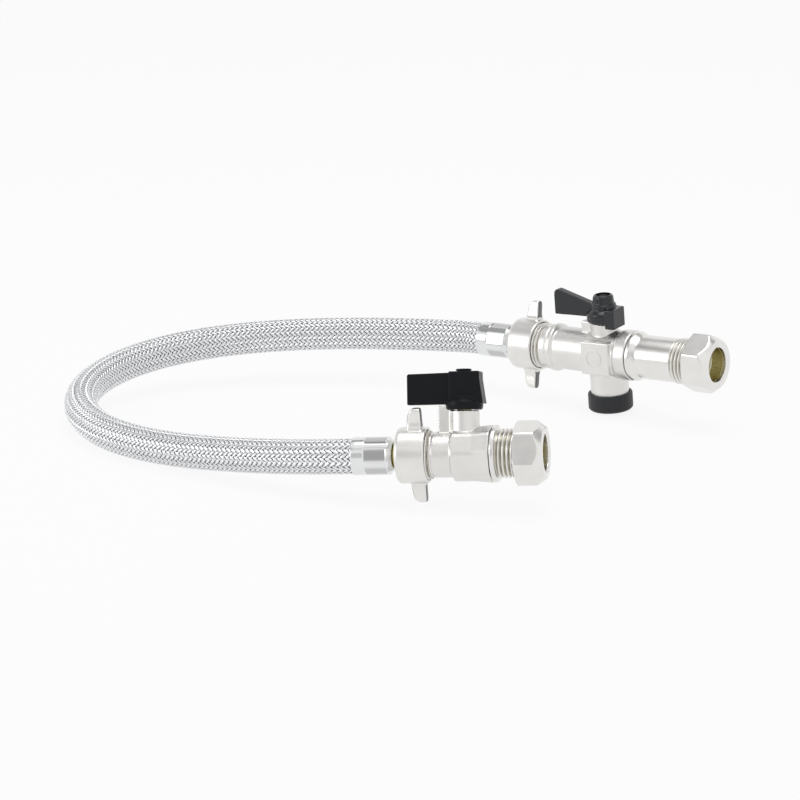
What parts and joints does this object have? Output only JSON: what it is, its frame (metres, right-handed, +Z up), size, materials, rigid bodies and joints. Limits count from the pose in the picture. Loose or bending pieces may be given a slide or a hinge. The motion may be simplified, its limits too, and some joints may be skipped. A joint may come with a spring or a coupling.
{
  "type": "filling loop",
  "caption": "Braided filling loop lying in a curve, with an isolating ball valve at one end and a ball and check valve with a capped test port at the other, both for 15 mm pipe.",
  "frame": {"origin": "on the floor, under the middle of the valves and hose fittings taken together, hose left out", "axes": "Z up from the floor. -Y is the side nearest the camera of the picture, +X to its right. Both valves point to +X, the near one turned 12 degrees and the far one 35 degrees toward -Y."},
  "size_m": [0.3004, 0.2214, 0.0569],
  "materials": {
    "nickel_plate": "satin nickel plating over brass",
    "polished_steel": "bright polished steel",
    "steel_braid": "fine woven stainless wire",
    "brass": "machined brass",
    "rubber": "black rubber",
    "white_plastic": "natural white plastic",
    "black_plastic": "smooth glossy black",
    "satin_black_plastic": "black with a soft sheen",
    "grey_black_plastic": "dark grey-black, faint sheen"
  },
  "bodies": {
    "hose": {"hose_braid": "steel_braid", "hose_liner": "rubber", "near_ferrule": "polished_steel", "far_ferrule": "polished_steel", "near_hose_tail": "brass", "far_hose_tail": "brass", "near_washer": "rubber", "far_washer": "rubber"},
    "near_wing_nut": {"near_wing_nut": "nickel_plate"},
    "far_wing_nut": {"far_wing_nut": "nickel_plate"},
    "near_valve": {"near_valve_body": "nickel_plate", "near_end_piece": "nickel_plate", "near_seat_inner": "white_plastic", "near_seat_outer": "white_plastic"},
    "near_lever": {"near_lever": "black_plastic", "near_lever_plug": "black_plastic", "near_lever_screw": "polished_steel", "near_stem": "brass", "near_stem_o_ring": "rubber", "near_ball": "polished_steel"},
    "near_olive": {"near_olive": "brass"},
    "near_compression_nut": {"near_compression_nut": "nickel_plate"},
    "far_valve": {"far_valve_body": "nickel_plate", "far_check_housing": "nickel_plate", "far_seat_inner": "white_plastic", "far_seat_outer": "white_plastic", "check_valve_clip": "polished_steel", "inner_check_cage": "white_plastic", "outer_check_cage": "white_plastic", "inner_check_spring": "polished_steel", "outer_check_spring": "polished_steel"},
    "far_lever": {"far_lever": "satin_black_plastic", "far_lever_screw": "polished_steel", "far_stem": "brass", "far_stem_o_ring": "rubber", "far_ball": "polished_steel"},
    "far_olive": {"far_olive": "brass"},
    "far_compression_nut": {"far_compression_nut": "nickel_plate"},
    "port_cap_seal": {"port_cap_seal": "rubber"},
    "port_cap": {"port_cap": "grey_black_plastic"},
    "inner_check_poppet": {"inner_check_poppet": "white_plastic"},
    "outer_check_poppet": {"outer_check_poppet": "white_plastic"}
  },
  "joints": [
    {"name": "near_wing_nut_turn", "type": "hinge", "parent": "hose", "child": "near_wing_nut", "pos_m": [-0.0577, -0.07929, 0.02027], "axis": [-0.9748, 0.2072, -0.0825], "range_deg": [0, 1080]},
    {"name": "near_valve_draw", "type": "slide", "parent": "hose", "child": "near_valve", "axis": [0.9748, -0.2072, 0.0825], "range_m": [0, 0.00544]},
    {"name": "near_lever_turn", "type": "hinge", "parent": "near_valve", "child": "near_lever", "pos_m": [-0.03665, -0.08376, 0.02206], "axis": [-0.0125, 0.3186, 0.9478], "range_deg": [0, 90]},
    {"name": "near_compression_nut_draw", "type": "slide", "parent": "near_valve", "child": "near_olive", "axis": [0.9748, -0.2072, 0.0825], "range_m": [0, 0.00544]},
    {"name": "near_compression_nut_turn", "type": "hinge", "parent": "near_olive", "child": "near_compression_nut", "pos_m": [-0.00974, -0.08948, 0.02433], "axis": [0.9748, -0.2072, 0.0825], "range_deg": [0, 1080]},
    {"name": "far_wing_nut_turn", "type": "hinge", "parent": "hose", "child": "far_wing_nut", "pos_m": [-0.00276, 0.08212, 0.02521], "axis": [-0.8179, 0.5727, -0.0548], "range_deg": [0, 1080]},
    {"name": "far_valve_draw", "type": "slide", "parent": "hose", "child": "far_valve", "axis": [0.8179, -0.5727, 0.0548], "range_m": [0, 0.00544]},
    {"name": "far_lever_turn", "type": "hinge", "parent": "far_valve", "child": "far_lever", "pos_m": [0.03069, 0.05869, 0.02746], "axis": [0.0748, 0.0115, -0.9971], "range_deg": [0, 90]},
    {"name": "far_compression_nut_draw", "type": "slide", "parent": "far_valve", "child": "far_olive", "axis": [0.8179, -0.5727, 0.0548], "range_m": [0, 0.00544]},
    {"name": "far_compression_nut_turn", "type": "hinge", "parent": "far_olive", "child": "far_compression_nut", "pos_m": [0.07306, 0.02903, 0.03029], "axis": [0.8179, -0.5727, 0.0548], "range_deg": [0, 1080]},
    {"name": "port_cap_draw", "type": "slide", "parent": "far_valve", "child": "port_cap_seal", "axis": [0.0748, 0.0115, -0.9971], "range_m": [0, 0.00363]},
    {"name": "port_cap_turn", "type": "hinge", "parent": "port_cap_seal", "child": "port_cap", "pos_m": [0.03299, 0.05849, 0.00556], "axis": [0.0748, 0.0115, -0.9971], "range_deg": [0, 720]},
    {"name": "inner_check_open", "type": "slide", "parent": "far_valve", "child": "inner_check_poppet", "axis": [-0.8179, 0.5727, -0.0548], "range_m": [0, 0.0022], "stiffness_N_per_m": 60, "springref_m": -0.004, "deforming": ["inner_check_spring"]},
    {"name": "outer_check_open", "type": "slide", "parent": "far_valve", "child": "outer_check_poppet", "axis": [-0.8179, 0.5727, -0.0548], "range_m": [0, 0.0022], "stiffness_N_per_m": 60, "springref_m": -0.004, "deforming": ["outer_check_spring"]}
  ],
  "couplings": [
    {"joint": "near_wing_nut_turn", "follows": "near_valve_draw", "rad_per_m": 3463.7},
    {"joint": "far_wing_nut_turn", "follows": "far_valve_draw", "rad_per_m": 3463.7},
    {"joint": "near_compression_nut_turn", "follows": "near_compression_nut_draw", "rad_per_m": 3463.7},
    {"joint": "far_compression_nut_turn", "follows": "far_compression_nut_draw", "rad_per_m": 3463.7},
    {"joint": "port_cap_turn", "follows": "port_cap_draw", "rad_per_m": 3463.7}
  ]
}
